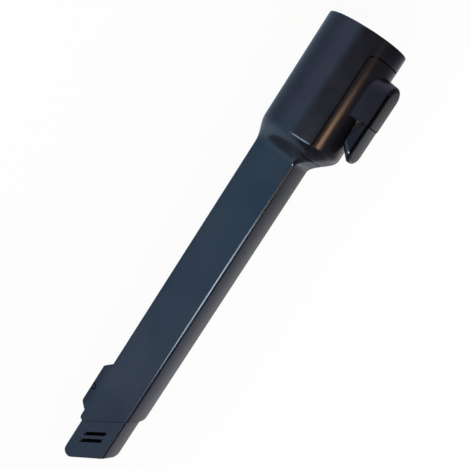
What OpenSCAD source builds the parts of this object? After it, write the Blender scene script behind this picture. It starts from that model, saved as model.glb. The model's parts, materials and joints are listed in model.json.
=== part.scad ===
// Telescopic crevice tool of a stick vacuum cleaner, retracted.
// X runs along the tool from the mouth of its socket to its tip, Z points to the release lever,
// and -Y to the wide face with the bleed slots. The origin is the centre of the socket's mouth.
// The tool lies on its side, on the collar and on the sole of the lock button's housing.

/* [Collar] */
// Outside diameter of the round collar
collar_d = 50; // [48:0.5:56]
// Length of the round collar, from the mouth to the shoulder
collar_len = 67.5; // [66:0.5:80]
// Wall of the collar
collar_wall = 2; // [1.6:0.1:2.4]

/* [Socket] */
// Bore of the socket, for a spigot of 35 mm
bore_d = 35.2; // [33:0.1:36]
// Wall of the sleeve that forms the bore
sleeve_wall = 1.4; // [1.2:0.1:1.6]
// Depth at which the spigot stops
socket_depth = 60; // [54:0.5:62]
// Width of the flange at each end of the sleeve
flange_w = 2.2; // [1.6:0.1:3]
// Width of the rubber seal's groove
seal_w = 3; // [2:0.1:4]

/* [Shoulder] */
// Length over which the round collar turns into the flat tube
shoulder_len = 15; // [13:0.5:20]
// Points on each quarter of the shoulder's outline
corner_steps = 12; // [8:1:16]
// Stations along the shoulder
shoulder_steps = 12; // [8:1:16]

/* [Tube] */
// Width of the flat tube, across its wide faces
tube_w = 30.4; // [28:0.2:34]
// Depth of the flat tube, between its wide faces
tube_d = 19.3; // [18:0.1:22]
// Radius along the tube's four edges
tube_edge_r = 1.8; // [1.4:0.1:2.4]
// How far the tube's middle lies off the collar's axis, away from the lever
tube_drop = 4.8; // [3:0.1:6]
// Wall of the tube's narrow sides
side_wall = 1.3; // [1.1:0.1:1.6]
// Wall of the tube's wide faces
face_wall = 1.8; // [1.4:0.1:2.2]
// Distance from the socket's mouth to the middle of the tube's slanted end
tube_end = 275.3; // [260:0.5:300]
// Slant of both ends against the square
slant = 37.5; // [30:0.5:42]
// Radius of the tube's pointed corner
tube_point_r = 3.1; // [2:0.1:5]
// Radius along the back edge of both slanted ends
lip_r = 5; // [3:0.1:6]

/* [Nozzle] */
// Sliding clearance at the nozzle's narrow sides
side_gap = 0.2; // [0.1:0.05:0.3]
// Sliding clearance at the nozzle's wide faces
face_gap = 0.25; // [0.1:0.05:0.4]
// Wall of the nozzle's narrow sides
nozzle_side_wall = 1.8; // [1.6:0.1:2.2]
// Wall of the nozzle's wide faces
nozzle_face_wall = 1.3; // [1:0.1:1.8]
// How far the nozzle stands out of the tube when it is pushed in
nozzle_reach = 27.8; // [24:0.2:40]
// Length of the nozzle, from its inner end to the middle of its slanted mouth
nozzle_len = 200; // [190:1:205]
// Radius along the nozzle's four edges
nozzle_edge_r = 1.4; // [1:0.1:1.6]
// Radius of the nozzle's pointed corner
nozzle_point_r = 4.8; // [2:0.1:6]

/* [Bleed slots] */
// Height of each bleed slot
slot_h = 1.7; // [1:0.1:2.4]
// Length of each bleed slot across the nozzle
slot_w = 12.6; // [8:0.2:18]
// Distance between the slots, along the nozzle
slot_pitch = 5.2; // [4:0.1:7]
// Distance from the nozzle's mouth to the first slot, along the nozzle
slot_setback = 13.1; // [8:0.1:16]

/* [Latch cover] */
// Distance from the socket's mouth to the cover
cover_front = 9.7; // [8.5:0.1:11]
// Length of the cover
cover_len = 65.8; // [64:0.2:67]
// Width of the cover, straight across
cover_w = 36.6; // [34:0.2:38]
// Radius of the cover's two corners at the mouth
cover_front_r = 4; // [2:0.1:6]
// Radius of the cover's two corners at the shoulder
cover_back_r = 7; // [5:0.1:9]
// Gap along the cover's seam
seam_gap = 0.25; // [0.15:0.05:0.4]
// Width of the ledge under the cover's edge, on each side of the seam
ledge_w = 1.2; // [0.8:0.1:1.4]

/* [Hood] */
// Height of the hood over the collar's surface
hood_rise = 10; // [9:0.1:12]
// Distance from the socket's mouth to the hood's open end
hood_end = 43; // [41:0.2:45]
// Distance from the socket's mouth to the hood's round end
hood_start = 17.2; // [16:0.2:18.5]
// Width of the hood's top
hood_top_w = 14.4; // [13:0.2:16]
// Spread of the hood's and lever's sides on their way down, per unit of height
side_draft = 0.26; // [0.2:0.01:0.3]
// Wall of the hood
hood_wall = 1.5; // [1.2:0.1:1.8]
// Radius along the upper edge of the hood and of the lever's tab
hood_edge_r = 1.9; // [1.2:0.1:2.2]

/* [Release lever] */
// Distance from the socket's mouth to the lever's tip
lever_tip = 64.8; // [62:0.2:67]
// Gap between the hood and the lever's tab
lever_gap = 0.5; // [0.4:0.05:0.8]
// Radius of the tab's two corners at the tip, seen from above
tab_corner_r = 6; // [4:0.1:7]
// How far the tab lies below the hood's top
tab_sink = 0.4; // [0.2:0.1:1]
// Height of the tab over the collar's surface, beside the hood
tab_lift = 2.6; // [2.5:0.1:3.2]
// How much higher the tab's underside is near its tip
tab_rise = 0.9; // [0.7:0.1:1.4]
// Length of the slanted prow under the tab's tip
prow_len = 4.6; // [3:0.1:6]
// Distance from the socket's mouth to the lever's pin
lever_pivot_x = 31; // [30:0.2:32]
// Diameter of the lever's pin
lever_pin_d = 2.5; // [2:0.1:2.8]
// Thickness of the lever's arm
arm_thick = 1.4; // [1.2:0.1:1.5]
// Width of the lever's arm
arm_w = 7; // [6:0.2:7.6]
// Distance from the socket's mouth to the hook
hook_x = 12.6; // [12.2:0.1:13.2]
// How far the hook stands into the bore
hook_bite = 1.4; // [1:0.1:1.5]

/* [Lock button] */
// Distance from the lock button's pin to the middle of the tube's end
lock_setback = 12.9; // [12.5:0.1:14]
// Length of the housing's flat sole on the collar's side of the pin
sole_rear = 13.8; // [13.4:0.1:16]
// Length of the housing's flat sole on the tip's side of the pin
sole_fore = 11.4; // [11:0.1:12]
// Length of the button
button_len = 19; // [18:0.1:19.6]
// Width of the button
button_w = 14.6; // [12:0.1:15]
// Diameter of the button's pin
lock_pin_d = 2.5; // [2:0.1:2.6]
// Travel of the nozzle
travel = 140; // [100:5:140]
// Distance between the notches in the nozzle's groove
notch_pitch = 20; // [10:2:30]
// Depth of the groove in which the button's tooth runs
groove_depth = 0.7; // [0.6:0.05:0.8]
// Depth of the notches below the groove
notch_depth = 0.5; // [0.3:0.05:0.6]

/* [Hidden] */
$fn = 64;
navy = [0.10, 0.115, 0.14];
black = [0.07, 0.07, 0.08];
steel = [0.72, 0.72, 0.74];
rubber = [0.05, 0.05, 0.05];
// Clearance of what turns on a pin, and of what is slipped in beside something else
pin_play = 0.05;
slip = 0.1;
// Reach of a cutter past what it cuts
past = 1;

// Overlap of the shoulder with what it joins. There its skin lies just inside the collar's and just
// outside the tube's, and its underside lies inside their walls.
lap = 0.8;
skin = 0.04;
under_skin = 0.12;

// Collar, tube and nozzle
collar_r = collar_d / 2;
rim_chamfer = 0.5;
tube_z = -tube_drop;
tube_start = collar_len + shoulder_len;
duct_w = tube_w - 2 * side_wall;
duct_d = tube_d - 2 * face_wall;
duct_edge_r = 0.8;
nozzle_w = duct_w - 2 * side_gap;
nozzle_d = duct_d - 2 * face_gap;
nozzle_tip = tube_end + nozzle_reach;
nozzle_back = nozzle_tip - nozzle_len;
guide_len = 6;

// Latch
bore_r = bore_d / 2;
sleeve_r = bore_r + sleeve_wall;
seal_depth = 1;
hook_relief = 0.5;
cover_back = cover_front + cover_len;
cover_thick = collar_wall - 3 * slip;
ledge_thick = 1.5;
hood_top = collar_r + hood_rise;
hood_floor = collar_r + 0.2;
tab_top = hood_top - tab_sink;
tab_low = collar_r + tab_lift;
tab_start = hood_end + lever_gap;
neck_w = hood_top_w - 2 * hood_wall - 2;
neck_top = hood_top - hood_wall - 0.5;
neck_low = tab_low + 0.2;
lever_pivot_z = collar_r + 4.5;
lever_boss_r = lever_pin_d / 2 + 1.75;
arm_low = sleeve_r + 0.3;
leg_thick = 4;
leg_back = lever_pivot_x - 0.5;
leg_front = leg_back - leg_thick;
hook_len = 3.6;
hook_w = 6;
lever_spring_x = lever_pivot_x + 7;
lever_spring_r = 2.1;
lever_spring_top = neck_top - 1.8;

// Lock button
sole_z = -collar_r;
tube_low = tube_z - tube_w / 2;
nozzle_low = tube_z - nozzle_w / 2;
lock_x = tube_end - lock_setback;
lock_z = (sole_z + tube_low) / 2 - 0.1;
pocket_len = button_len + 1;
pocket_w = button_w + 0.6;
lock_boss_r = lock_pin_d / 2 + 0.9;
boss_room = 0.3;
tooth_x = lock_x - button_len / 2 + 1.2;
tooth_len = 2.4;
tooth_w = 7;
tooth_gap = 0.6;
button_top = lock_z + 0.5;
spring_seat = 1.4;
lock_spring_x = lock_x + button_len / 2 - 2.6;
lock_spring_r = 1.5;

// A round bar along X, from one place to another
module bar(from, to, r, end_r = undef) {
    translate([from, 0, 0])
        rotate([0, 90, 0])
            cylinder(h = to - from, r1 = r, r2 = is_undef(end_r) ? r : end_r);
}

// A hole or pin across the tool
module across(x, z, r, length) {
    translate([x, 0, z])
        rotate([90, 0, 0])
            cylinder(h = length, r = r, center = true);
}

// A side view, drawn in X and Z, as thick as w
module side_view(w) {
    rotate([90, 0, 0])
        linear_extrude(w, center = true)
            children();
}

// Section of a flat bar with round edges
module flat_outline(w, d, r) {
    square([w - 2 * r, d], center = true);
    square([w, d - 2 * r], center = true);
    for (side = [-1, 1], end = [-1, 1])
        translate([side * (w / 2 - r), end * (d / 2 - r)])
            circle(r);
}

// A flat bar along X about the tube's middle
module flat_bar(from, to, w, d, r) {
    translate([from, 0, tube_z])
        rotate([0, 90, 0])
            linear_extrude(to - from)
                flat_outline(w, d, r);
}

// The smooth step from 0 to 1 that turns the collar into the tube
function ease(t) = t <= 0 ? 0 : t >= 1 ? 1 : t * t * (3 - 2 * t);
function mix(from, to, s) = from + (to - from) * s;

// A ring of points about the axis at x: half width a along Z, half depth b, corner radius r
function ring(x, z, a, b, r) = [
    for (quarter = [0 : 3], step = [0 : corner_steps])
        let (angle = 90 * (quarter + step / corner_steps),
             up = quarter == 0 || quarter == 3 ? 1 : -1,
             back = quarter < 2 ? 1 : -1)
        [x, back * (b - r) + r * sin(angle), z + up * (a - r) + r * cos(angle)]
];

// The shoulder's section s of the way to the tube, taken in by depth = [at the collar, at side, at face]
function station(x, s, depth) =
    let (side = mix(depth[0], depth[1], s),
         face = mix(depth[0], depth[2], s))
    ring(x, tube_z * s, mix(collar_r, tube_w / 2, s) - side, mix(collar_r, tube_d / 2, s) - face,
         max(mix(collar_r, tube_edge_r, s) - max(side, face) - skin, 0.4));

// Triangles of a closed tube with an outer and an inner skin, from rings of n points
function band(here, there, n) = [
    for (i = [0 : n - 1])
        let (next = (i + 1) % n)
        each [[here + i, here + next, there + i], [here + next, there + next, there + i]]
];

// The shoulder as a loft between two depths under the tool's surface
module shoulder(outer, inner) {
    n = 4 * (corner_steps + 1);
    span = (shoulder_len + 2 * lap) / shoulder_steps;
    places = [for (i = [0 : shoulder_steps]) i * span - lap];
    outer_skin = outer + skin * [1, -1, -1];
    inner_skin = inner - under_skin * [1, 1, 1];
    points = [
        for (x = places)
            each station(collar_len + x, ease(x / shoulder_len), outer_skin),
        for (x = places)
            each station(collar_len + x, ease(x / shoulder_len), inner_skin)
    ];
    inside = (shoulder_steps + 1) * n;
    faces = [
        for (i = [0 : shoulder_steps - 1])
            each band(i * n, (i + 1) * n, n),
        for (i = [0 : shoulder_steps - 1])
            each band(inside + (i + 1) * n, inside + i * n, n),
        each band(inside, 0, n),
        each band(shoulder_steps * n, inside + shoulder_steps * n, n)
    ];
    polyhedron(points, faces);
}

// What a slanted end takes off a bar that ends at x: the plane, the back edge's round, the point's round
module slant_cut(x, w, half_d, point_r) {
    low = tube_z - w / 2;
    point_x = x + tan(slant) * w / 2;
    tangent = point_r / tan((90 - slant) / 2);
    on_side = [point_x - tangent, low];
    on_end = [point_x - tangent * sin(slant), low + tangent * cos(slant)];
    translate([x, 0, tube_z])
        rotate([0, -slant, 0])
            linear_extrude(4 * w, center = true) {
                translate([0, -half_d - past])
                    square([2 * w, 2 * (half_d + past)]);
                difference() {
                    translate([-lip_r, half_d - lip_r])
                        square(lip_r + past);
                    translate([-lip_r, half_d - lip_r])
                        circle(lip_r);
                }
            }
    side_view(2 * (half_d + past))
        difference() {
            polygon([on_side, on_side - [0, past], [point_x + past, low - past],
                     on_end + past * [1, 1], on_end]);
            translate(on_side + [0, point_r])
                circle(point_r);
        }
}

// Top view of the cover, grown by more on all sides
module cover_outline(more) {
    half_w = cover_w / 2 + more;
    front_r = cover_front_r + more;
    back_r = cover_back_r + more;
    from = cover_front - more;
    to = cover_back + more;
    translate([from + front_r, -half_w])
        square([to - back_r - from - front_r, 2 * half_w]);
    translate([from, -half_w + front_r])
        square([to - from - back_r, 2 * (half_w - front_r)]);
    translate([to - 2 * back_r, -half_w + back_r])
        square([2 * back_r, 2 * (half_w - back_r)]);
    for (side = [-1, 1]) {
        translate([from + front_r, side * (half_w - front_r)])
            circle(front_r);
        translate([to - back_r, side * (half_w - back_r)])
            circle(back_r);
    }
}

module cover_prism(more) {
    linear_extrude(collar_r + past)
        cover_outline(more);
}

// The ledge inside the seam, on which the cover's edge rests
module cover_ledge() {
    top_r = collar_r - collar_wall + slip;
    depth = [collar_wall, side_wall, face_wall] - 2.5 * slip * [1, 1, 1];
    intersection() {
        union() {
            difference() {
                bar(0, collar_len, top_r);
                bar(-past, collar_len + past, top_r - ledge_thick);
            }
            shoulder(depth, depth + ledge_thick * [1, 1, 1]);
        }
        difference() {
            cover_prism(ledge_w);
            translate([0, 0, -past])
                linear_extrude(collar_r + 3 * past)
                    cover_outline(-ledge_w);
        }
    }
}

// What a radius takes off a corner whose two edges leave it at the given angles
module corner_round(corner, angle_a, angle_b, r) {
    half = (angle_a - angle_b) / 2;
    middle = (angle_a + angle_b) / 2;
    reach = r / tan(half);
    outward = [-cos(middle), -sin(middle)];
    on_a = corner + reach * [cos(angle_a), sin(angle_a)];
    on_b = corner + reach * [cos(angle_b), sin(angle_b)];
    difference() {
        polygon([on_a, on_a + past * outward, corner + past * outward, on_b + past * outward, on_b]);
        translate(corner - r / sin(half) * outward)
            circle(r);
    }
}

// The lock button's housing: a sole level with the collar's side, with a ramp at each end
module lock_housing() {
    ramp_rear = 5;
    ramp_fore = 3.7;
    sole_r = 2.5;
    rise = tube_low - sole_z;
    from = lock_x - sole_rear;
    to = lock_x + sole_fore;
    top = tube_low + side_wall + duct_edge_r;
    intersection() {
        side_view(tube_d)
            difference() {
                polygon([[from - ramp_rear, tube_low], [from, sole_z], [to, sole_z],
                         [to + ramp_fore, tube_low], [to + ramp_fore, top], [from - ramp_rear, top]]);
                corner_round([from, sole_z], atan2(rise, -ramp_rear), 0, sole_r);
                corner_round([to, sole_z], 180, atan2(rise, ramp_fore), sole_r);
            }
        translate([0, 0, -rise])
            flat_bar(from - ramp_rear - past, to + ramp_fore + past, tube_w, tube_d, tube_edge_r);
    }
}

// Space of the lock button, and the tooth's window into the tube
module lock_pocket() {
    tooth_play = 1;
    translate([lock_x - pocket_len / 2, -pocket_w / 2, sole_z - past])
        cube([pocket_len, pocket_w, tube_low - sole_z + past]);
    translate([tooth_x - tooth_play, -tooth_w / 2 - tooth_play / 2, tube_low - past])
        cube([tooth_len + 1.5 * tooth_play, tooth_w + tooth_play, side_wall + 2 * past]);
    across(lock_x, lock_z, lock_boss_r + boss_room, pocket_w);
}

module outer_body() {
    color(navy)
        difference() {
            union() {
                difference() {
                    union() {
                        bar(0, rim_chamfer, collar_r - rim_chamfer, collar_r);
                        bar(rim_chamfer, collar_len, collar_r);
                    }
                    bar(-past, collar_len + past, collar_r - collar_wall);
                    cover_prism(0);
                }
                difference() {
                    shoulder([0, 0, 0], [collar_wall, side_wall, face_wall]);
                    cover_prism(0);
                }
                cover_ledge();
                difference() {
                    union() {
                        difference() {
                            flat_bar(tube_start, tube_end + tube_w, tube_w, tube_d, tube_edge_r);
                            slant_cut(tube_end, tube_w, tube_d / 2, tube_point_r);
                        }
                        lock_housing();
                    }
                    flat_bar(tube_start - past, tube_end + tube_w, duct_w, duct_d, duct_edge_r);
                    lock_pocket();
                    across(lock_x, lock_z, lock_pin_d / 2, tube_d - 2 * slip);
                }
            }
        }
}

// Outline of the hood from above: straight sides that end in a half round towards the mouth
module hood_outline(half_w, from, to) {
    translate([from + half_w, -half_w])
        square([to - from - half_w, 2 * half_w]);
    translate([from + half_w, 0])
        circle(half_w, $fn = 32);
}

// The hood's volume, taken in by wall, with its upper edge rounded and its sides spreading downwards
module hood_volume(wall, low, to) {
    edge_r = hood_edge_r - wall / 2;
    top = hood_top - wall;
    half_top = hood_top_w / 2 - wall;
    start = hood_start + wall;
    end_draft = 0.6 * side_draft;
    sheet = 0.02;
    hull() {
        for (angle = [0 : 15 : 90])
            let (drop = edge_r * (1 - sin(angle)),
                 inset = edge_r * (1 - cos(angle)))
            translate([0, 0, top - drop - sheet])
                linear_extrude(sheet)
                    hood_outline(half_top - inset + side_draft * drop, start + inset - end_draft * drop, to);
        translate([0, 0, low])
            linear_extrude(sheet)
                hood_outline(half_top + side_draft * (top - low), start - end_draft * (top - low), to);
    }
}

// Bosses inside the hood's walls that hold the pin's ends
module hood_bosses() {
    for (side = [-1, 1])
        translate([lever_pivot_x, side * (neck_w / 2 + 0.2), lever_pivot_z])
            rotate([-90 * side, 0, 0])
                cylinder(h = hood_top_w, r = lever_boss_r);
}

// Snap clips on the cover's underside, with a bead each that reaches under the ledge
module cover_clips() {
    clip_w = 8;
    clip_thick = 1.2;
    bead = 0.9;
    clip_low = collar_r - 14;
    from = cover_w / 2 - ledge_w - slip - clip_thick;
    for (x = [cover_front + 8, cover_front + 36], side = [-1, 1])
        translate([x, 0, 0])
            mirror([0, side < 0 ? 1 : 0, 0]) {
                intersection() {
                    translate([0, from, clip_low])
                        cube([clip_w, clip_thick, collar_r - clip_low]);
                    bar(0, clip_w, collar_r - cover_thick / 2);
                }
                translate([0, from, clip_low])
                    cube([clip_w, clip_thick + bead, bead]);
            }
}

module latch_cover() {
    under_r = collar_r - cover_thick;
    slot_w = arm_w + 1;
    slot_from = leg_front - 1.4;
    slot_to = leg_back + 0.6;
    color(black)
        difference() {
            union() {
                intersection() {
                    union() {
                        difference() {
                            bar(cover_front - past, collar_len, collar_r);
                            bar(0, collar_len + past, under_r);
                        }
                        shoulder([0, 0, 0], [collar_wall, side_wall, face_wall] - 4 * slip * [1, 1, 1]);
                    }
                    cover_prism(-seam_gap);
                }
                difference() {
                    hood_volume(0, under_r - 2, hood_end);
                    difference() {
                        hood_volume(hood_wall, hood_floor, hood_end + past);
                        hood_bosses();
                    }
                    bar(0, collar_len, under_r);
                }
                cover_clips();
            }
            translate([slot_from, -slot_w / 2, 0])
                cube([slot_to - slot_from, slot_w, hood_floor + past]);
            across(lever_pivot_x, lever_pivot_z, lever_pin_d / 2, hood_top_w);
        }
}

// Outline of the lever's tab from above, with rounded corners at its tip
module tab_outline(half_w, tip, corner_r) {
    translate([tab_start, -half_w])
        square([tip - corner_r - tab_start, 2 * half_w]);
    for (side = [-1, 1])
        translate([tip - corner_r, side * (half_w - corner_r)])
            circle(corner_r, $fn = 48);
}

// The tab outside the hood: rounded above, spreading downwards, with a slanted prow under its tip
module tab_volume() {
    half_top = hood_top_w / 2 + side_draft * tab_sink;
    low_half = half_top + side_draft * (tab_top - tab_low);
    sheet = 0.02;
    hull() {
        for (angle = [0 : 15 : 90])
            let (drop = hood_edge_r * (1 - sin(angle)),
                 inset = hood_edge_r * (1 - cos(angle)))
            translate([0, 0, tab_top - drop - sheet])
                linear_extrude(sheet)
                    tab_outline(half_top - inset + side_draft * drop, lever_tip - inset, tab_corner_r - inset);
        translate([tab_start, 0, tab_low])
            rotate([0, -atan(tab_rise / (lever_tip - prow_len - tab_start)), 0])
                translate([-tab_start, 0, 0])
                    linear_extrude(sheet)
                        tab_outline(low_half, lever_tip - prow_len, tab_corner_r);
    }
}

module lever_tab() {
    tab_wall = 1.6;
    core_from = tab_start + 2;
    core_half = hood_top_w / 2 - tab_wall;
    core_to = lever_tip - prow_len - 2 - core_half;
    difference() {
        tab_volume();
        translate([0, 0, tab_low - past])
            linear_extrude(tab_top - tab_wall - tab_low + past) {
                translate([core_from, -core_half])
                    square([core_to - core_from, 2 * core_half]);
                translate([core_to, 0])
                    circle(core_half);
            }
    }
}

// The hook: sloped towards the mouth, so that a spigot lifts it, and square behind
module lever_hook() {
    root = 0.5;
    slope = 2.2;
    tip_z = bore_r - hook_bite;
    translate([hook_x, 0, 0])
        side_view(hook_w)
            polygon([[0, arm_low + root], [0, arm_low], [slope, tip_z],
                     [hook_len, tip_z], [hook_len, arm_low + root]]);
}

module release_lever() {
    color(navy)
        difference() {
            union() {
                lever_tab();
                translate([lever_pivot_x, -neck_w / 2, neck_low])
                    cube([tab_start + 2.5 - lever_pivot_x, neck_w, neck_top - neck_low]);
                across(lever_pivot_x, lever_pivot_z, lever_boss_r, neck_w);
                translate([leg_front, -arm_w / 2, arm_low])
                    cube([leg_thick, arm_w, lever_pivot_z - arm_low]);
                translate([hook_x, -arm_w / 2, arm_low])
                    cube([leg_back - hook_x, arm_w, arm_thick]);
                lever_hook();
            }
            across(lever_pivot_x, lever_pivot_z, lever_pin_d / 2 + pin_play, neck_w + past);
            translate([lever_spring_x, 0, neck_low - past])
                cylinder(h = lever_spring_top - neck_low + past, r = lever_spring_r + 0.8);
        }
}

module lever_pin() {
    color(steel)
        across(lever_pivot_x, lever_pivot_z, lever_pin_d / 2, hood_top_w);
}

// A coil spring that stands along Z, as one round wire swept round a helix
module coil(low, high, r, wire_r, turns) {
    sides = 6;
    steps = 14 * turns;
    points = [
        for (i = [0 : steps], k = [0 : sides - 1])
            let (angle = 360 * turns * i / steps,
                 turn = 360 * k / sides,
                 out = r + wire_r * cos(turn))
            [out * cos(angle), out * sin(angle),
             mix(low + wire_r, high - wire_r, i / steps) + wire_r * sin(turn)]
    ];
    faces = [
        [for (k = [sides - 1 : -1 : 0]) k],
        for (i = [0 : steps - 1])
            each band(i * sides, (i + 1) * sides, sides),
        [for (k = [0 : sides - 1]) steps * sides + k]
    ];
    polyhedron(points, faces);
}

module lever_spring() {
    color(steel)
        translate([lever_spring_x, 0, 0])
            coil(hood_floor, lever_spring_top, lever_spring_r, 0.3, 5);
}

// Sleeve inside the collar: the bore, a flange at each end, centring ribs, and round the bore a relief
// at the hook, with the hook's window in it
module socket_sleeve() {
    end_x = socket_depth + flange_w;
    seal_x = socket_depth - seal_w;
    flange_r = collar_r - collar_wall - slip;
    rear_r = collar_r - collar_wall - ledge_thick - slip;
    rib_w = 1.6;
    window_w = hook_w + 1.2;
    window_front = hook_x - 2;
    window_back = hook_x + hook_len + 0.8;
    color(black)
        difference() {
            union() {
                bar(0, end_x, sleeve_r);
                bar(0, flange_w, flange_r);
                bar(seal_x - flange_w, end_x, rear_r);
                intersection() {
                    bar(0, end_x, flange_r);
                    for (angle = [90 : 45 : 270])
                        rotate([angle, 0, 0])
                            translate([0, -rib_w / 2, 0])
                                cube([end_x, rib_w, collar_r]);
                }
            }
            bar(-past, seal_x, bore_r);
            bar(window_front, window_back, bore_r + hook_relief);
            bar(seal_x, socket_depth, bore_r + seal_depth);
            bar(seal_x, end_x + past, bore_r - 1.8);
            translate([window_front, -window_w / 2, 0])
                cube([window_back - window_front, window_w, collar_r]);
        }
}

module socket_seal() {
    lip = 0.6;
    color(rubber)
        difference() {
            bar(socket_depth - seal_w, socket_depth, bore_r + seal_depth);
            bar(socket_depth - seal_w - past, socket_depth + past, bore_r - lip);
        }
}

// Groove for the button's tooth in the nozzle's narrow side, with the notches that the tooth drops into
module tooth_groove() {
    groove_w = tooth_w + 0.8;
    from = tooth_x - travel - tooth_gap;
    to = tooth_x + tooth_len + tooth_gap;
    translate([from, -groove_w / 2, nozzle_low - past])
        cube([to - from, groove_w, groove_depth + past]);
    for (x = [tooth_x : -notch_pitch : tooth_x - travel])
        translate([x - tooth_gap, -groove_w / 2, nozzle_low - past])
            cube([tooth_len + 2 * tooth_gap, groove_w, groove_depth + notch_depth + past]);
}

// Slots through the nozzle's front face, parallel to its mouth
module bleed_slots() {
    half_h = slot_h / cos(slant) / 2;
    shift = slot_w / 2 * tan(slant);
    for (i = [0, 1])
        translate([nozzle_tip - slot_setback - i * slot_pitch, -nozzle_d / 2, tube_z])
            side_view(nozzle_d)
                polygon([[shift - half_h, -slot_w / 2], [shift + half_h, -slot_w / 2],
                         [half_h - shift, slot_w / 2], [-shift - half_h, slot_w / 2]]);
}

module sliding_nozzle() {
    inner_w = nozzle_w - 2 * nozzle_side_wall;
    inner_d = nozzle_d - 2 * nozzle_face_wall;
    color(navy)
        difference() {
            flat_bar(nozzle_back, nozzle_tip + tube_w, nozzle_w, nozzle_d, nozzle_edge_r);
            flat_bar(nozzle_back - past, nozzle_tip + tube_w + past, inner_w, inner_d, nozzle_edge_r / 2);
            slant_cut(nozzle_tip, nozzle_w, nozzle_d / 2, nozzle_point_r);
            bleed_slots();
            tooth_groove();
        }
}

// Bush in the nozzle's inner end: it centres the nozzle in the tube and carries the wiper seal
module nozzle_guide() {
    plug_wall = 1.4;
    plug_w = nozzle_w - 2 * nozzle_side_wall;
    plug_d = nozzle_d - 2 * nozzle_face_wall;
    color(black)
        difference() {
            union() {
                flat_bar(nozzle_back - guide_len, nozzle_back, duct_w - 2 * slip, duct_d - 2 * slip, duct_edge_r);
                flat_bar(nozzle_back - past, nozzle_back + guide_len, plug_w, plug_d, nozzle_edge_r / 2);
            }
            flat_bar(nozzle_back - guide_len - past, nozzle_back + guide_len + past,
                     plug_w - 2 * plug_wall, plug_d - 2 * plug_wall, duct_edge_r);
            wiper(duct_w + past, duct_d + past);
        }
}

// A flat ring round the nozzle's guide, w wide and d deep outside
module wiper(w, d) {
    depth = 1.2;
    wiper_w = 2;
    from = nozzle_back - guide_len / 2 - wiper_w / 2;
    difference() {
        flat_bar(from, from + wiper_w, w, d, duct_edge_r);
        flat_bar(from - past, from + wiper_w + past, duct_w - 2 * slip - 2 * depth,
                 duct_d - 2 * slip - 2 * depth, duct_edge_r / 2);
    }
}

module nozzle_seal() {
    color(rubber)
        wiper(duct_w - slip, duct_d - slip);
}

// Rocker: a pressing end with grip ribs, a boss on the pin, and the tooth at its other end
module lock_button() {
    half = button_len / 2;
    outer_z = sole_z + 0.5;
    taper = 0.8;
    rib_r = 0.35;
    tooth_top = nozzle_low + groove_depth - slip;
    color(black)
        difference() {
            union() {
                side_view(button_w)
                    polygon([[lock_x - half, outer_z + taper], [lock_x, outer_z], [lock_x + half, outer_z],
                             [lock_x + half, button_top], [lock_x - half, button_top]]);
                across(lock_x, lock_z, lock_boss_r, button_w);
                for (i = [0 : 3])
                    across(lock_x + half - 1.4 - 1.9 * i, outer_z, rib_r, button_w - 3);
                translate([tooth_x, -tooth_w / 2, button_top - past])
                    cube([tooth_len, tooth_w, tooth_top - button_top + past]);
            }
            across(lock_x, lock_z, lock_pin_d / 2 + pin_play, button_w + past);
            translate([lock_spring_x, 0, button_top - spring_seat])
                cylinder(h = spring_seat + past, r = lock_spring_r + 0.6);
        }
}

module lock_pin() {
    color(steel)
        across(lock_x, lock_z, lock_pin_d / 2, tube_d - 2 * slip);
}

module lock_spring() {
    color(steel)
        translate([lock_spring_x, 0, 0])
            coil(button_top - spring_seat, tube_low, lock_spring_r, 0.25, 3);
}

outer_body();
latch_cover();
release_lever();
lever_pin();
lever_spring();
socket_sleeve();
socket_seal();
sliding_nozzle();
nozzle_guide();
nozzle_seal();
lock_button();
lock_pin();
lock_spring();
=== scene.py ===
"""Dresses a telescopic crevice tool: moulded plastic shells, rubber seals, steel pins and springs, and a pale studio."""

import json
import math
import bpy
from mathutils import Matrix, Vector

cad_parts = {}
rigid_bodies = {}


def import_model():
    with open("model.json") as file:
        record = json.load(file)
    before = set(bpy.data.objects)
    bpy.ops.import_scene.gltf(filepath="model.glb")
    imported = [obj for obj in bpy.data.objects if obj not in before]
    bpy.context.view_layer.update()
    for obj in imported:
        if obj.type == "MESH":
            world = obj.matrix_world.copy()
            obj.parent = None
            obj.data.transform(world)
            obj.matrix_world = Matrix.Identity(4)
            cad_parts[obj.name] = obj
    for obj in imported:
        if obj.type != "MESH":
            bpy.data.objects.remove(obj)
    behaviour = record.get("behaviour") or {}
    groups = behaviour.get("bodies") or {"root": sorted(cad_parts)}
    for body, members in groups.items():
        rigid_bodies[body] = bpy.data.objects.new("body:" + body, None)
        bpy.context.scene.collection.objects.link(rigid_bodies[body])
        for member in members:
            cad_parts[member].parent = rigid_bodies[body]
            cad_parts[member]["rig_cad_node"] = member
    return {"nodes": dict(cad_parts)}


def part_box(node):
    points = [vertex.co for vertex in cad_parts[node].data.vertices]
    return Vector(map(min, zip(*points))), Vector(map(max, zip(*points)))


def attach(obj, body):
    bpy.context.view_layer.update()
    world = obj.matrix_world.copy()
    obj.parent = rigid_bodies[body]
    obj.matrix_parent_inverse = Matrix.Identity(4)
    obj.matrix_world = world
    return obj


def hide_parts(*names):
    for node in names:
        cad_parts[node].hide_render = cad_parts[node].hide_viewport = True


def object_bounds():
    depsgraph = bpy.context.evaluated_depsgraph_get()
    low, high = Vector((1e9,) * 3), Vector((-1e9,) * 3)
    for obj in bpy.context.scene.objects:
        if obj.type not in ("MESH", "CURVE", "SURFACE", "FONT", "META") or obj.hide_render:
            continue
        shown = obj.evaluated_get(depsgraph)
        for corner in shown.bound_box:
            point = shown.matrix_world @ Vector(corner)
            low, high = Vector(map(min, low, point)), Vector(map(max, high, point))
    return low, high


bl_info = {
    "name": "Telescopic Crevice Tool",
    "version": (1, 0, 0),
    "blender": (4, 5, 0),
    "location": "3D View > Sidebar > Crevice Tool",
    "description": "Finishes a telescopic vacuum crevice tool and sets up its studio",
    "category": "Object",
}

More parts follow.
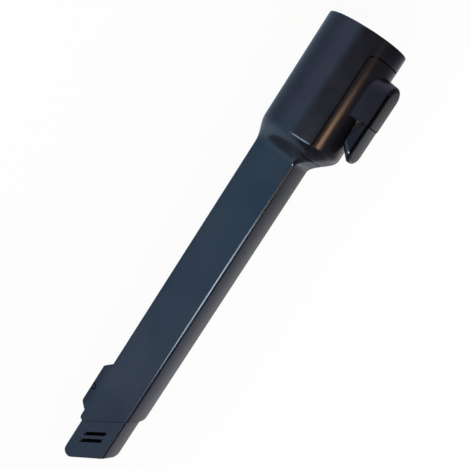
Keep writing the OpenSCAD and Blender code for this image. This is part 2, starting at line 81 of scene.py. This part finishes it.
import bpy
from bpy.props import FloatProperty, FloatVectorProperty, PointerProperty
from mathutils import Euler, Vector

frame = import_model()
CAD_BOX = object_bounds()
FLOOR_MIDDLE = (0.14, 0.0, CAD_BOX[0][2])
COVER_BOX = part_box("latch_cover")
NOZZLE_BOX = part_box("sliding_nozzle")
PIN_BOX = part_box("lock_pin")
NECK_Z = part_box("lever_pin")[0].z - 0.003
MERGE_REACH = 0.000002
SHARP_ANGLE = math.radians(36)
CLEAR_START = 0.00005
GAP_REACH = 0.0004
WALL_REACH = 0.002
FRONT_CORNER = 0.00375
BACK_CORNER = 0.00675
HOOD_END = 0.04325
RIDGE_Z = 0.033
TAB_SHIFT = 0.00015
TAB_LEAN = 0.0003
TAB_SHOULDER_Z = 0.031
PIN_RECESS_R = 0.00175
PIN_RECESS_DEPTH = 0.0007


class FinishSettings(bpy.types.PropertyGroup):
    """Colours and surface of the tool's plastics."""

    shell_colour: FloatVectorProperty(
        name="Shell",
        description="Colour of the satin plastic of the body, nozzle and lever",
        subtype="COLOR", size=3, min=0, max=1, default=(0.004, 0.004, 0.007))
    cover_colour: FloatVectorProperty(
        name="Latch cover",
        description="Colour of the glossy plastic of the latch cover",
        subtype="COLOR", size=3, min=0, max=1, default=(0.005, 0.006, 0.01))
    inside_colour: FloatVectorProperty(
        name="Inside",
        description="Colour of the black plastic inside the tool",
        subtype="COLOR", size=3, min=0, max=1, default=(0.012, 0.012, 0.013))
    shell_roughness: FloatProperty(
        name="Shell roughness",
        description="Roughness of the satin plastic",
        subtype="FACTOR", min=0, max=1, default=0.2)
    cover_roughness: FloatProperty(
        name="Cover roughness",
        description="Roughness of the latch cover",
        subtype="FACTOR", min=0, max=1, default=0.2)
    grain: FloatProperty(
        name="Grain",
        description="Size of the eroded grain on the satin plastic",
        unit="LENGTH", min=0.0001, max=0.002, default=0.0004)
    edge_round: FloatProperty(
        name="Edge round",
        description="Round on the moulded shells' outer edges, also along the seam of the latch cover",
        unit="LENGTH", min=0.00005, max=0.0005, default=0.00025)
    crown: FloatProperty(
        name="Crown",
        description="Radius of the slight round across the narrow faces",
        unit="LENGTH", min=0.02, max=1, default=0.075)


class StageSettings(bpy.types.PropertyGroup):
    """Camera, lamps and floor."""

    eye: FloatVectorProperty(
        name="Eye",
        description="Place of the camera",
        subtype="TRANSLATION", unit="LENGTH", size=3, default=(0.059577, -0.408161, 0.219875))
    turn: FloatVectorProperty(
        name="Turn",
        description="Turn of the camera about X, Y and Z",
        subtype="EULER", unit="ROTATION", size=3,
        default=tuple(math.radians(angle) for angle in (-48.939, -44.11, 138.203)))
    lens: FloatProperty(
        name="Lens",
        description="Focal length in millimetres on a 36 mm sensor",
        min=20, max=200, default=61.58)
    floor_colour: FloatVectorProperty(
        name="Floor",
        description="Colour of the floor",
        subtype="COLOR", size=3, min=0, max=1, default=(0.9, 0.9, 0.9))


def settings():
    return bpy.context.scene.crevice_finish


def deselect_all():
    if bpy.context.object and bpy.context.object.mode != "OBJECT":
        bpy.ops.object.mode_set(mode="OBJECT")
    bpy.ops.object.select_all(action="DESELECT")


def select(obj):
    deselect_all()
    obj.select_set(True)
    bpy.context.view_layer.objects.active = obj


class Nodes:
    """Adds nodes to one material or world and links them."""

    def __init__(self, owner):
        self.owner = owner
        owner.use_nodes = True
        self.tree = owner.node_tree
        self.tree.nodes.clear()

    def add(self, kind, inputs=None, **fields):
        node = self.tree.nodes.new(kind)
        for field, value in fields.items():
            setattr(node, field, value)
        for key, value in (inputs or {}).items():
            if isinstance(value, bpy.types.NodeSocket):
                self.tree.links.new(value, node.inputs[key])
            else:
                node.inputs[key].default_value = value
        return node


def shader(nodes, **inputs):
    """The material's surface, with the given sockets set or linked."""
    keys = {key.replace("_", " "): value for key, value in inputs.items()}
    surface = nodes.add("ShaderNodeBsdfPrincipled", keys)
    nodes.add("ShaderNodeOutputMaterial", {"Surface": surface.outputs[0]})
    return nodes.owner


def crowned_normal(nodes, place, crown):
    """The normal of the narrow flat faces, which are moulded slightly round across the tool."""
    normal = nodes.add("ShaderNodeNewGeometry").outputs["Normal"]
    local = nodes.add("ShaderNodeVectorTransform", {0: normal}, vector_type="NORMAL", convert_from="WORLD",
                      convert_to="OBJECT").outputs[0]
    upright = nodes.add("ShaderNodeSeparateXYZ", {0: local}).outputs["Z"]
    steep = nodes.add("ShaderNodeMath", {0: upright}, operation="ABSOLUTE").outputs[0]
    narrow = nodes.add("ShaderNodeMapRange", {"Value": steep, "From Min": 0.9, "From Max": 0.99,
                                              "To Max": 1 / crown}, interpolation_type="SMOOTHSTEP").outputs[0]
    across = nodes.add("ShaderNodeSeparateXYZ", {0: place}).outputs["Y"]
    lean = nodes.add("ShaderNodeMath", {0: across, 1: narrow}, operation="MULTIPLY").outputs[0]
    leaning = nodes.add("ShaderNodeCombineXYZ", {"Y": lean}).outputs[0]
    round_face = nodes.add("ShaderNodeVectorMath", {0: local, 1: leaning}, operation="ADD").outputs[0]
    world = nodes.add("ShaderNodeVectorTransform", {0: round_face}, vector_type="NORMAL", convert_from="OBJECT",
                      convert_to="WORLD").outputs[0]
    return nodes.add("ShaderNodeVectorMath", {0: world}, operation="NORMALIZE").outputs[0]


def moulded_plastic(name, colour, roughness, level, gloss_tint, grain, grain_depth, worn_colour):
    """Plastic with an eroded grain, faint handling marks, uneven gloss and slightly polished edges."""
    nodes = Nodes(bpy.data.materials.new(name))
    place = nodes.add("ShaderNodeTexCoord").outputs["Object"]
    cloud = nodes.add("ShaderNodeTexNoise", {"Vector": place, "Scale": 45.0, "Detail": 3.0}).outputs["Fac"]
    along = nodes.add("ShaderNodeMapping", {"Vector": place, "Scale": (40.0, 1400.0, 1400.0)}).outputs[0]
    rubs = nodes.add("ShaderNodeTexNoise", {"Vector": along, "Scale": 1.0, "Detail": 2.0}).outputs["Fac"]
    rub_mask = nodes.add("ShaderNodeMapRange",
                         {"Value": rubs, "From Min": 0.62, "From Max": 0.78, "To Max": 1.0}).outputs[0]
    round_normal = nodes.add("ShaderNodeBevel", {"Radius": 0.0007}, samples=4).outputs[0]
    true_normal = nodes.add("ShaderNodeNewGeometry").outputs["True Normal"]
    facing = nodes.add("ShaderNodeVectorMath", {0: round_normal, 1: true_normal},
                       operation="DOT_PRODUCT").outputs["Value"]
    edge = nodes.add("ShaderNodeMapRange",
                     {"Value": facing, "From Min": 0.97, "From Max": 0.8, "To Max": 0.5}).outputs[0]
    worn = nodes.add("ShaderNodeMath", {0: edge, 1: cloud}, operation="MULTIPLY").outputs[0]
    tone = nodes.add("ShaderNodeMapRange",
                     {"Value": cloud, "From Min": 0.3, "From Max": 0.7, "To Min": 0.0, "To Max": 0.12}).outputs[0]
    tint = nodes.add("ShaderNodeMath", {0: tone, 1: worn}, operation="ADD").outputs[0]
    paint = nodes.add("ShaderNodeMix", {"Factor": tint, "A": (*colour, 1), "B": (*worn_colour, 1)},
                      data_type="RGBA").outputs["Result"]
    gloss = nodes.add("ShaderNodeMapRange",
                      {"Value": cloud, "From Min": 0.3, "From Max": 0.7,
                       "To Min": roughness - 0.03, "To Max": roughness + 0.04}).outputs[0]
    rubbed = nodes.add("ShaderNodeMath", {0: rub_mask, 1: -0.05, 2: gloss}, operation="MULTIPLY_ADD").outputs[0]
    pits = nodes.add("ShaderNodeTexNoise", {"Vector": place, "Scale": 1 / grain, "Detail": 2.0}).outputs["Fac"]
    relief = nodes.add("ShaderNodeBump", {"Height": pits, "Strength": 1.0, "Distance": grain_depth,
                                          "Normal": crowned_normal(nodes, place, settings().crown)}).outputs[0]
    return shader(nodes, Base_Color=paint, Roughness=rubbed, Normal=relief, IOR=1.5, Specular_IOR_Level=level,
                  Specular_Tint=(*gloss_tint, 1))


def gap_shadow(name):
    """Painted shade for the edges along a gap between two mouldings: near-black, dull and without gloss, with a faint
    speckle.
    """
    nodes = Nodes(bpy.data.materials.new(name))
    place = nodes.add("ShaderNodeTexCoord").outputs["Object"]
    shade_speckle = nodes.add("ShaderNodeTexNoise", {"Vector": place, "Scale": 900.0, "Detail": 3.0}).outputs["Fac"]
    colour = nodes.add("ShaderNodeMix",
                       {"Factor": shade_speckle, "A": (0.001, 0.001, 0.002, 1), "B": (0.004, 0.004, 0.005, 1)},
                       data_type="RGBA").outputs["Result"]
    return shader(nodes, Base_Color=colour, Roughness=0.9, Specular_IOR_Level=0.0)


def rubber(name):
    """Soft black rubber with a dull bloom."""
    nodes = Nodes(bpy.data.materials.new(name))
    place = nodes.add("ShaderNodeTexCoord").outputs["Object"]
    bloom = nodes.add("ShaderNodeTexNoise", {"Vector": place, "Scale": 220.0, "Detail": 5.0}).outputs["Fac"]
    colour = nodes.add("ShaderNodeMix",
                       {"Factor": bloom, "A": (0.012, 0.012, 0.012, 1), "B": (0.03, 0.03, 0.032, 1)},
                       data_type="RGBA").outputs["Result"]
    relief = nodes.add("ShaderNodeBump", {"Height": bloom, "Strength": 0.5, "Distance": 0.00003}).outputs[0]
    return shader(nodes, Base_Color=colour, Roughness=0.75, Normal=relief)


def drawn_steel(name):
    """Drawn steel wire and pins, with fine lines and slightly uneven shine."""
    nodes = Nodes(bpy.data.materials.new(name))
    place = nodes.add("ShaderNodeTexCoord").outputs["Object"]
    lines = nodes.add("ShaderNodeTexNoise", {"Vector": place, "Scale": 1800.0, "Detail": 4.0}).outputs["Fac"]
    gloss = nodes.add("ShaderNodeMapRange", {"Value": lines, "To Min": 0.22, "To Max": 0.42}).outputs[0]
    colour = nodes.add("ShaderNodeMix",
                       {"Factor": lines, "A": (0.52, 0.52, 0.54, 1), "B": (0.66, 0.66, 0.68, 1)},
                       data_type="RGBA").outputs["Result"]
    return shader(nodes, Base_Color=colour, Roughness=gloss, Metallic=1.0)


def blued_steel(name):
    """A blackened steel pin, with a faint turned grain."""
    nodes = Nodes(bpy.data.materials.new(name))
    place = nodes.add("ShaderNodeTexCoord").outputs["Object"]
    grain = nodes.add("ShaderNodeTexNoise", {"Vector": place, "Scale": 1500.0, "Detail": 3.0}).outputs["Fac"]
    gloss = nodes.add("ShaderNodeMapRange", {"Value": grain, "To Min": 0.3, "To Max": 0.5}).outputs[0]
    colour = nodes.add("ShaderNodeMix",
                       {"Factor": grain, "A": (0.03, 0.035, 0.06, 1), "B": (0.05, 0.055, 0.085, 1)},
                       data_type="RGBA").outputs["Result"]
    return shader(nodes, Base_Color=colour, Roughness=gloss, Metallic=1.0)


def finish(name):
    """The material of that name, made once."""
    made = bpy.data.materials.get(name)
    if made:
        return made
    look = settings()
    if name == "satin_shell":
        return moulded_plastic(name, look.shell_colour, look.shell_roughness, 0.8, (0.38, 0.63, 0.98), look.grain,
                               0.000003, (0.045, 0.052, 0.062))
    if name == "gloss_cover":
        return moulded_plastic(name, look.cover_colour, look.cover_roughness, 0.62, (0.46, 0.58, 0.85), 2 * look.grain,
                               0.000004, (0.03, 0.032, 0.036))
    if name == "black_inside":
        return moulded_plastic(name, look.inside_colour, 0.55, 0.65, (0.6, 0.6, 0.6), look.grain, 0.00002,
                               (0.04, 0.04, 0.042))
    # Painted shade for the rounds at gaps, recesses and ridges.
    if name == "painted_gap_shade":
        return gap_shadow(name)
    if name == "blued_steel":
        return blued_steel(name)
    if name == "seal_rubber":
        return rubber(name)
    if name == "steel":
        return drawn_steel(name)
    raise ValueError("No finish is called " + name)


def coat(obj, name):
    """Gives the whole object that finish."""
    obj.data.materials.clear()
    obj.data.materials.append(finish(name))


def fine_copy(node, body):
    """A copy of a CAD node with its loose triangles merged, which stands for the node."""
    select(frame["nodes"][node])
    bpy.ops.object.duplicate()
    piece = bpy.context.object
    piece.name = node + "_moulding"
    del piece["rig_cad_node"]
    bpy.ops.object.mode_set(mode="EDIT")
    bpy.ops.mesh.select_all(action="SELECT")
    bpy.ops.mesh.remove_doubles(threshold=MERGE_REACH)
    bpy.ops.mesh.customdata_custom_splitnormals_clear()
    bpy.ops.object.mode_set(mode="OBJECT")
    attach(piece, body)
    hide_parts(node)
    return piece


def outer_edges(piece, chosen):
    """The sharp convex edges that nothing of the piece itself stands over, at the chosen places."""
    mesh = piece.data
    sides = {}
    for face in mesh.polygons:
        for edge in face.edge_keys:
            sides.setdefault(edge, []).append(face)
    found = []
    for edge in mesh.edges:
        one, other = sides[edge.key]
        if one.normal.dot(other.normal) > math.cos(SHARP_ANGLE):
            continue
        middle = (mesh.vertices[edge.vertices[0]].co + mesh.vertices[edge.vertices[1]].co) / 2
        if one.normal.dot(other.center - middle) > 0 or not chosen(middle):
            continue
        outward = (one.normal + other.normal).normalized()
        if not piece.ray_cast(middle + outward * CLEAR_START, outward)[0]:
            found.append(edge.index)
    return found


def pick(piece, kind, indices):
    """Enters edit mode with only those points, edges or faces of the piece selected."""
    select(piece)
    bpy.ops.object.mode_set(mode="EDIT")
    bpy.ops.mesh.select_mode(type=kind)
    bpy.ops.mesh.select_all(action="DESELECT")
    bpy.ops.object.mode_set(mode="OBJECT")
    parts = {"VERT": piece.data.vertices, "EDGE": piece.data.edges, "FACE": piece.data.polygons}[kind]
    for index in indices:
        parts[index].select = True
    bpy.ops.object.mode_set(mode="EDIT")


def round_edges(piece, width, in_gap):
    """Gives the outer edges the small round of a mould, and paints shade, dark and dull, on the rounds where they
    border a gap.
    """
    select(piece)
    bpy.ops.object.shade_smooth_by_angle(angle=SHARP_ANGLE)
    for slot, chosen in ((1, in_gap), (0, lambda place: not in_gap(place))):
        edges = outer_edges(piece, chosen)
        if not edges:
            continue
        pick(piece, "EDGE", edges)
        bpy.ops.mesh.bevel(offset=width, segments=2, affect="EDGES", clamp_overlap=False, loop_slide=False,
                           harden_normals=True)
        if slot:
            piece.active_material_index = slot
            bpy.ops.object.material_slot_assign()
        bpy.ops.object.mode_set(mode="OBJECT")
    even = piece.modifiers.new("even normals", "WEIGHTED_NORMAL")
    even.keep_sharp = True
    bpy.ops.object.modifier_apply(modifier=even.name)


def coats(piece, *names):
    """Fills the piece's material slots with those finishes."""
    piece.data.materials.clear()
    for name in names:
        piece.data.materials.append(finish(name))


def beside_seam(place):
    """Whether a point lies at the outline of the latch cover, seen from above."""
    low, high = COVER_BOX
    corner = FRONT_CORNER if place.x < (low.x + high.x) / 2 else BACK_CORNER
    along = max(abs(place.x - (low.x + high.x) / 2) - (high.x - low.x) / 2 + corner, 0)
    aside = max(abs(place.y) - (high.y - low.y) / 2 + corner, 0)
    return abs(math.hypot(along, aside) - corner) < GAP_REACH


def beside_tab(place):
    """Whether a point lies at the gap between the hood and the lever's tab."""
    return abs(place.x - HOOD_END) < 2 * GAP_REACH and place.z > NECK_Z


def beside_nozzle(place):
    """Whether a point lies at the mouth of the tube, where the nozzle comes out."""
    low, high = NOZZLE_BOX
    return place.x > 0.2 and low.z - WALL_REACH < place.z < high.z + WALL_REACH


def beside_pin(place):
    """Whether a point lies at the recess round an end of the lock button's pin."""
    low, high = PIN_BOX
    middle = (low + high) / 2
    return math.hypot(place.x - middle.x, place.z - middle.z) < PIN_RECESS_R + GAP_REACH


def beside_slot(place):
    """Whether a point lies at one of the nozzle's bleed slots."""
    low, high = NOZZLE_BOX
    return place.y < 0 and low.z + 0.004 < place.z < high.z - 0.004 and low.x + 0.1 < place.x < high.x - 0.006


def sink_pin_ends(body):
    """Sinks a round recess on each side of the lock housing, in which the end of the lock button's pin shows."""
    low, high = PIN_BOX
    middle = (low + high) / 2
    for side in (-1, 1):
        deselect_all()
        bpy.ops.mesh.primitive_cylinder_add(vertices=32, radius=PIN_RECESS_R, depth=2 * PIN_RECESS_DEPTH,
                                            location=(middle.x, side * high.y, middle.z),
                                            rotation=(math.radians(90), 0, 0))
        cutter = bpy.context.object
        # The cutter's painted shade passes to the recess's walls, so the ring round the pin is painted dark.
        coats(cutter, "painted_gap_shade")
        select(body)
        cut = body.modifiers.new("recess", "BOOLEAN")
        cut.object = cutter
        cut.operation = "DIFFERENCE"
        cut.solver = "EXACT"
        cut.material_mode = "TRANSFER"
        bpy.ops.object.modifier_apply(modifier=cut.name)
        bpy.data.objects.remove(cutter)


def paint_ridge_shade(piece):
    """Paints shade on the rounds along the top of the hood or the tab, giving them the dark, dull gap finish in place
    of their gloss.
    """
    ridges = [face.index for face in piece.data.polygons
              if face.center.z > RIDGE_Z and abs(face.normal.x) < 0.15 and 0.45 < abs(face.normal.y) < 0.9]
    pick(piece, "FACE", ridges)
    piece.active_material_index = 1
    bpy.ops.object.material_slot_assign()
    bpy.ops.object.mode_set(mode="OBJECT")


def close_tab_gap(lever):
    """Leans the tab's rear face up to the hood: close at the top, and open below, where the pressed tab swings in."""
    rear = {corner for face in lever.data.polygons if face.normal.x < -0.99 and beside_tab(face.center)
            for corner in face.vertices}
    for shift, bottom in ((TAB_SHIFT, NECK_Z), (TAB_LEAN, TAB_SHOULDER_Z)):
        pick(lever, "VERT", [corner for corner in rear if lever.data.vertices[corner].co.z > bottom])
        bpy.ops.transform.translate(value=(-shift, 0, 0))
        bpy.ops.object.mode_set(mode="OBJECT")


class CREVICE_OT_outer_body(bpy.types.Operator):
    """Finish the body: collar, shoulder, tube and lock housing."""

    bl_idname = "crevice.outer_body"
    bl_label = "Outer body"

    def execute(self, context):
        body = fine_copy("outer_body", "housing")
        coats(body, "satin_shell", "painted_gap_shade")
        sink_pin_ends(body)
        # Painted shade on the rounds along the cover's seam, at the tube's mouth and round the pin's recesses.
        round_edges(body, settings().edge_round,
                    lambda place: beside_seam(place) or beside_nozzle(place) or beside_pin(place))
        return {"FINISHED"}


class CREVICE_OT_latch(bpy.types.Operator):
    """Finish the latch cover with its hood, and the release lever."""

    bl_idname = "crevice.latch"
    bl_label = "Latch cover and lever"

    def execute(self, context):
        cover = fine_copy("latch_cover", "housing")
        coats(cover, "gloss_cover", "painted_gap_shade")
        # Painted shade on the hood's ridges and on the rounds at the seam and the tab's gap.
        paint_ridge_shade(cover)
        round_edges(cover, settings().edge_round, lambda place: beside_seam(place) or beside_tab(place))
        lever = fine_copy("release_lever", "lever")
        close_tab_gap(lever)
        coats(lever, "satin_shell", "painted_gap_shade")
        # Painted shade on the tab's ridges and on the rounds at its gap.
        paint_ridge_shade(lever)
        round_edges(lever, settings().edge_round, beside_tab)
        return {"FINISHED"}


class CREVICE_OT_nozzle(bpy.types.Operator):
    """Finish the sliding nozzle."""

    bl_idname = "crevice.nozzle"
    bl_label = "Sliding nozzle"

    def execute(self, context):
        nozzle = fine_copy("sliding_nozzle", "nozzle")
        coats(nozzle, "satin_shell", "painted_gap_shade")
        # Painted shade on the rounds of the bleed slots.
        round_edges(nozzle, settings().edge_round, beside_slot)
        return {"FINISHED"}


class CREVICE_OT_inside(bpy.types.Operator):
    """Finish the socket's sleeve, the nozzle's guide and the lock button."""

    bl_idname = "crevice.inside"
    bl_label = "Sleeve, guide and button"

    def execute(self, context):
        for node in ("socket_sleeve", "nozzle_guide", "lock_button"):
            coat(frame["nodes"][node], "black_inside")
        return {"FINISHED"}


class CREVICE_OT_seals(bpy.types.Operator):
    """Finish the rubber seals."""

    bl_idname = "crevice.seals"
    bl_label = "Seals"

    def execute(self, context):
        for node in ("socket_seal", "nozzle_seal"):
            coat(frame["nodes"][node], "seal_rubber")
        return {"FINISHED"}


class CREVICE_OT_metal(bpy.types.Operator):
    """Finish the pins and springs."""

    bl_idname = "crevice.metal"
    bl_label = "Pins and springs"

    def execute(self, context):
        coat(frame["nodes"]["lock_pin"], "blued_steel")
        for node in ("lever_pin", "lever_spring", "lock_spring"):
            coat(frame["nodes"][node], "steel")
        return {"FINISHED"}


def lamp(name, place, aim, size, power, colour):
    """A soft rectangular lamp at a place, aimed at a point."""
    toward = Vector(aim) - Vector(place)
    bpy.ops.object.light_add(type="AREA", location=place, rotation=toward.to_track_quat("-Z", "Y").to_euler())
    light = bpy.context.object
    light.name = name
    light.data.shape = "RECTANGLE"
    light.data.size, light.data.size_y = size
    light.data.energy = power
    light.data.color = colour
    return light


def floor_finish(colour):
    """A pale floor, plain white further off, with the tool's own shadow faint near it to the camera; to gloss rays it
    glows in painted reflection colours, with a painted shadow near the tool.
    """
    nodes = Nodes(bpy.data.materials.new("studio_floor"))
    place = nodes.add("ShaderNodeTexCoord").outputs["Object"]
    parts = nodes.add("ShaderNodeSeparateXYZ", {0: place}).outputs
    along = nodes.add("ShaderNodeMath", {0: parts["X"], 1: FLOOR_MIDDLE[0]}, operation="SUBTRACT").outputs[0]
    beyond = nodes.add("ShaderNodeMath", {0: along}, operation="ABSOLUTE").outputs[0]
    past_end = nodes.add("ShaderNodeMapRange", {"Value": beyond, "From Min": FLOOR_MIDDLE[0], "From Max": 4.0,
                                                "To Max": 4.0 - FLOOR_MIDDLE[0]}).outputs[0]
    beside = nodes.add("ShaderNodeCombineXYZ", {"X": past_end, "Y": parts["Y"]}).outputs[0]
    apart = nodes.add("ShaderNodeVectorMath", {0: beside}, operation="LENGTH").outputs["Value"]
    path = nodes.add("ShaderNodeLightPath").outputs
    seen = nodes.add("ShaderNodeMapRange", {"Value": apart, "From Min": 0.02, "From Max": 0.3,
                                            "To Min": 0.95, "To Max": 1.0}).outputs[0]
    glossy = nodes.add("ShaderNodeMath", {0: path["Is Glossy Ray"], 1: path["Is Transmission Ray"]},
                       operation="MAXIMUM").outputs[0]
    white = nodes.add("ShaderNodeMath", {0: path["Is Camera Ray"], 1: seen, 2: glossy},
                      operation="MULTIPLY_ADD").outputs[0]
    shaded = nodes.add("ShaderNodeBsdfDiffuse", {"Color": (*colour, 1)}).outputs[0]
    # Mask for the painted shadow in the gloss: lit rises from 0 close to the tool to 1 at about three of its
    # half-widths.
    half_width = nodes.add("ShaderNodeMapRange", {"Value": parts["X"], "From Min": 0.067, "From Max": 0.085,
                                                  "To Min": 0.025, "To Max": 0.0097}).outputs[0]
    widths = nodes.add("ShaderNodeMath", {0: apart, 1: half_width}, operation="DIVIDE").outputs[0]
    lit = nodes.add("ShaderNodeMapRange", {"Value": widths, "From Min": 0.6, "From Max": 2.8},
                    interpolation_type="SMOOTHSTEP").outputs[0]
    # Painted reflection colours that the floor shows to gloss rays only: varied along the tool, and darker behind it
    # as painted shade.
    behind = nodes.add("ShaderNodeMapRange", {"Value": parts["Y"], "From Min": 0.02, "From Max": 0.14},
                       interpolation_type="SMOOTHSTEP").outputs[0]
    mirrored = (0.92, 0.76, 0.84, 1)
    for start, end, colour_there in ((0.05, 0.085, (0.7, 0.9, 0.96, 1)), (0.12, 0.25, (0.92, 0.95, 1, 1)),
                                     (0.265, 0.29, (0.7, 0.74, 0.8, 1))):
        stretch = nodes.add("ShaderNodeMapRange", {"Value": parts["X"], "From Min": start, "From Max": end}).outputs[0]
        mirrored = nodes.add("ShaderNodeMix", {"Factor": stretch, "A": mirrored, "B": colour_there},
                             data_type="RGBA").outputs["Result"]
    mirrored = nodes.add("ShaderNodeMix", {"Factor": behind, "A": mirrored, "B": (0.42, 0.44, 0.48, 1)},
                         data_type="RGBA").outputs["Result"]
    # Painted shadow of the tool, seen only in the gloss: these darker blues stand close to the tool, where lit is low.
    near = (0.28, 0.36, 0.44, 1)
    for start, end, colour_there in ((0.062, 0.08, (0.52, 0.6, 0.68, 1)), (0.12, 0.16, (0.3, 0.38, 0.46, 1))):
        stretch = nodes.add("ShaderNodeMapRange", {"Value": parts["X"], "From Min": start, "From Max": end}).outputs[0]
        near = nodes.add("ShaderNodeMix", {"Factor": stretch, "A": near, "B": colour_there},
                         data_type="RGBA").outputs["Result"]
    mirrored = nodes.add("ShaderNodeMix", {"Factor": lit, "A": near, "B": mirrored},
                         data_type="RGBA").outputs["Result"]
    # Gloss and transmission rays see the painted colours; the camera sees white.
    glow = nodes.add("ShaderNodeMix", {"Factor": glossy, "A": (1, 1, 1, 1), "B": mirrored},
                     data_type="RGBA").outputs["Result"]
    plain = nodes.add("ShaderNodeEmission", {"Color": glow, "Strength": 1.0}).outputs[0]
    surface = nodes.add("ShaderNodeMixShader", {0: white, 1: shaded, 2: plain}).outputs[0]
    nodes.add("ShaderNodeOutputMaterial", {"Surface": surface})
    return nodes.owner


def room_light():
    """A room: dark in front and overhead, paler to the right, and with a pale panel on the wall behind."""
    nodes = Nodes(bpy.data.worlds.new("room"))
    way = nodes.add("ShaderNodeTexCoord").outputs["Generated"]
    parts = nodes.add("ShaderNodeSeparateXYZ", {0: way}).outputs

    def fade(part, start, end):
        return nodes.add("ShaderNodeMapRange", {"Value": parts[part], "From Min": start, "From Max": end},
                         interpolation_type="SMOOTHSTEP").outputs[0]

    def blend(factor, first, second):
        return nodes.add("ShaderNodeMix", {"Factor": factor, "A": first, "B": second},
                         data_type="RGBA").outputs["Result"]

    right = blend(fade("X", 0.35, 0.75), (0.38, 0.38, 0.42, 1), (0.6, 0.65, 0.75, 1))
    front = blend(fade("Z", 0.0, 0.32), right, (0.04, 0.04, 0.05, 1))
    panel = nodes.add("ShaderNodeMath", {0: fade("X", -0.14, -0.02), 1: fade("X", 0.68, 0.48)},
                      operation="MULTIPLY").outputs[0]
    shade = nodes.add("ShaderNodeMath", {0: fade("X", -0.05, 0.0), 1: fade("X", 0.16, 0.08)},
                      operation="MULTIPLY").outputs[0]
    pale = blend(shade, (0.97, 0.89, 0.86, 1), (0.79, 0.71, 0.66, 1))
    back = blend(panel, (0.16, 0.16, 0.18, 1), pale)
    walls = blend(fade("Y", -0.1, 0.4), front, back)
    height = nodes.add("ShaderNodeMapRange", {"Value": parts["Z"], "From Min": 0.3, "From Max": 1.1}).outputs[0]
    room = blend(height, walls, (0.07, 0.065, 0.07, 1))
    path = nodes.add("ShaderNodeLightPath").outputs
    seen = nodes.add("ShaderNodeMath", {0: path["Is Camera Ray"], 1: path["Is Transmission Ray"]},
                     operation="MAXIMUM").outputs[0]
    light = nodes.add("ShaderNodeBackground", {"Color": blend(seen, room, (1, 1, 1, 1)), "Strength": 1.0}).outputs[0]
    nodes.add("ShaderNodeOutputWorld", {"Surface": light})
    bpy.context.scene.world = nodes.owner


class CREVICE_OT_stage(bpy.types.Operator):
    """Set up the floor, the lamps, the surround and the camera."""

    bl_idname = "crevice.stage"
    bl_label = "Studio"

    def execute(self, context):
        stage = context.scene.crevice_stage
        deselect_all()
        bpy.ops.object.camera_add(location=stage.eye, rotation=stage.turn)
        camera = bpy.context.object
        camera.data.sensor_width = 36
        camera.data.lens = stage.lens
        camera.data.clip_start = 0.01
        context.scene.camera = camera
        low, high = CAD_BOX
        bpy.ops.mesh.primitive_plane_add(size=8, location=(FLOOR_MIDDLE[0], 0, low[2]))
        floor = bpy.context.object
        floor.name = "floor"
        bpy.ops.object.transform_apply(location=True, rotation=False, scale=False)
        floor.data.materials.append(floor_finish(stage.floor_colour))
        lamp("ceiling strip", (0.12, -0.2, 0.95), (0.06, -0.05, 0), (0.24, 0.15), 1.7, (1.0, 0.5, 0.2))
        lamp("softbox", (0.44, -1.0, 0.48), (0.15, 0, 0), (0.27, 1.05), 15.5, (1.0, 0.78, 0.65))
        room_light()
        context.scene.view_settings.view_transform = "Standard"
        return {"FINISHED"}


class CREVICE_PT_panel(bpy.types.Panel):
    """Lists the sizes, colours and pieces of the tool."""

    bl_idname = "CREVICE_PT_panel"
    bl_label = "Crevice Tool"
    bl_space_type = "VIEW_3D"
    bl_region_type = "UI"
    bl_category = "Crevice Tool"

    def draw(self, context):
        for group in (context.scene.crevice_finish, context.scene.crevice_stage):
            for field in group.__annotations__:
                self.layout.prop(group, field)
        for piece in OPERATORS:
            self.layout.operator(piece.bl_idname)


OPERATORS = (
    CREVICE_OT_outer_body,
    CREVICE_OT_latch,
    CREVICE_OT_nozzle,
    CREVICE_OT_inside,
    CREVICE_OT_seals,
    CREVICE_OT_metal,
    CREVICE_OT_stage,
)
CLASSES = (FinishSettings, StageSettings, *OPERATORS, CREVICE_PT_panel)


def register():
    for item in CLASSES:
        bpy.utils.register_class(item)
    bpy.types.Scene.crevice_finish = PointerProperty(type=FinishSettings)
    bpy.types.Scene.crevice_stage = PointerProperty(type=StageSettings)


def unregister():
    del bpy.types.Scene.crevice_stage
    del bpy.types.Scene.crevice_finish
    for item in reversed(CLASSES):
        bpy.utils.unregister_class(item)


def main():
    register()
    for piece in OPERATORS:
        group, name = piece.bl_idname.split(".")
        getattr(getattr(bpy.ops, group), name)()


if __name__ == "__main__":
    main()
